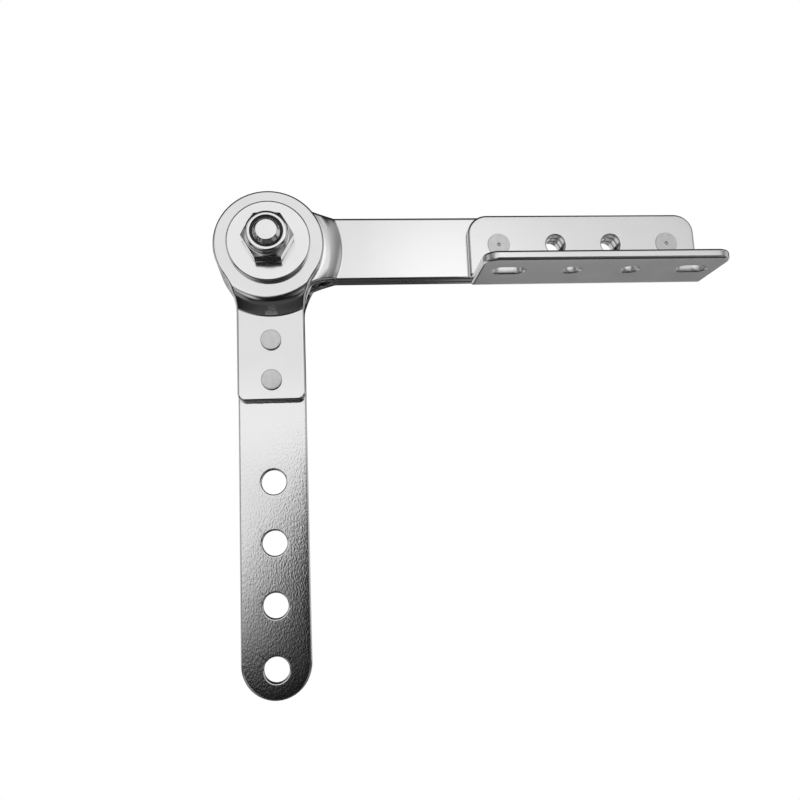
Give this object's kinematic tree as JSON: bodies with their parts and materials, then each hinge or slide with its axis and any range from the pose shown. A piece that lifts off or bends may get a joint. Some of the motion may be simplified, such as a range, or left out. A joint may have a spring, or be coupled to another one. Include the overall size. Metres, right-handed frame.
{
  "type": "sofa headrest hinge",
  "caption": "Friction hinge for a sofa headrest: a drilled flat strap and an arm with an angle bracket, clamped between friction discs by a pivot bolt and lock nut.",
  "frame": {"origin": "centre of the strap's line of four mounting holes, halfway through the strap's thickness", "axes": "+Z along the strap up to the pivot, +X along the arm, +Y to the back; the lock nut and the bracket's flange face -Y"},
  "size_m": [0.187, 0.0564, 0.185],
  "materials": {
    "nickel_plate": "bright nickel-plated pressed steel",
    "plated_fastener": "bright plated steel",
    "rivet_steel": "plated steel rivet with a dull set head",
    "friction_fibre": "dark friction fibre",
    "nylon": "dark nylon"
  },
  "bodies": {
    "support": {"strap": "nickel_plate", "front_ear": "nickel_plate", "back_ear": "nickel_plate", "ear_rivet_upper": "rivet_steel", "ear_rivet_lower": "rivet_steel", "friction_disc_front_outer": "friction_fibre", "friction_disc_front_inner": "friction_fibre", "friction_disc_back_inner": "friction_fibre", "friction_disc_back_outer": "friction_fibre", "pivot_bolt": "plated_fastener", "bolt_washer": "plated_fastener", "nut_washer": "plated_fastener", "lock_nut": "plated_fastener", "lock_ring": "nylon"},
    "headrest_arm": {"front_arm": "nickel_plate", "back_arm": "nickel_plate", "angle_bracket": "nickel_plate", "arm_rivet_inner": "rivet_steel", "arm_rivet_outer": "rivet_steel"}
  },
  "joints": [
    {"name": "arm_swing", "type": "hinge", "parent": "support", "child": "headrest_arm", "pos_m": [0, 0, 0.121], "axis": [0, -1, 0], "range_deg": [-5, 185]}
  ]
}
